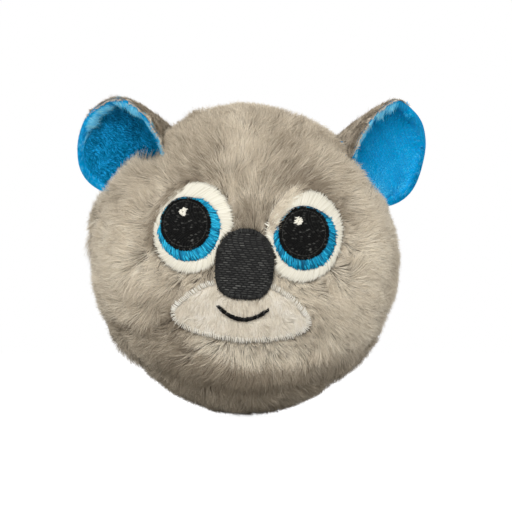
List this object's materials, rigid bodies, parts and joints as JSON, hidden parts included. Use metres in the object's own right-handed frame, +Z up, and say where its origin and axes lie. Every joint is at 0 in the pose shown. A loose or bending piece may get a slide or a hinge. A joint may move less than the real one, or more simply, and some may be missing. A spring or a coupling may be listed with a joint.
{
  "type": "plush toy",
  "caption": "Palm-sized stuffed koala head: a round long-pile plush ball with an embroidered face and cupped ears that flex on their sewn roots.",
  "frame": {"origin": "centre of the small flat foot under the ball", "axes": "+Z up, face towards -Y, +X to the right as seen from the front"},
  "size_m": [0.1128, 0.0943, 0.1006],
  "materials": {
    "grey_taupe_long_pile": "long-pile plush",
    "polyester_fibre": "loose fibre fill",
    "black_thread": "satin stitch",
    "blue_thread": "satin stitch",
    "white_thread": "satin stitch",
    "cream_thread": "zig-zag stitch",
    "cream_short_pile": "short-pile plush",
    "grey_short_pile": "short-pile plush",
    "blue_short_pile": "short-pile plush"
  },
  "bodies": {
    "head": {"stuffing_core": "polyester_fibre", "face_panel": "grey_taupe_long_pile", "under_panel": "grey_taupe_long_pile", "back_panel_left": "grey_taupe_long_pile", "back_panel_right": "grey_taupe_long_pile", "left_eye_white": "white_thread", "left_eye_iris": "blue_thread", "left_eye_pupil": "black_thread", "left_eye_glint": "white_thread", "right_eye_white": "white_thread", "right_eye_iris": "blue_thread", "right_eye_pupil": "black_thread", "right_eye_glint": "white_thread", "nose": "black_thread", "muzzle_patch": "cream_short_pile", "muzzle_edge_stitching": "cream_thread", "mouth_stitching": "black_thread"},
    "left_ear": {"left_ear_back": "grey_short_pile", "left_ear_lining": "blue_short_pile"},
    "right_ear": {"right_ear_back": "grey_short_pile", "right_ear_lining": "blue_short_pile"}
  },
  "joints": [
    {"name": "left_ear_flex", "type": "hinge", "parent": "head", "child": "left_ear", "pos_m": [-0.03902, -0.00383, 0.0825], "axis": [0.2471, -0.7594, 0.6019], "range_deg": [-8, 8], "stiffness_Nm_per_rad": 0.006},
    {"name": "right_ear_flex", "type": "hinge", "parent": "head", "child": "right_ear", "pos_m": [0.04393, -0.00065, 0.08093], "axis": [-0.0743, -0.6814, 0.7281], "range_deg": [-8, 8], "stiffness_Nm_per_rad": 0.006}
  ]
}
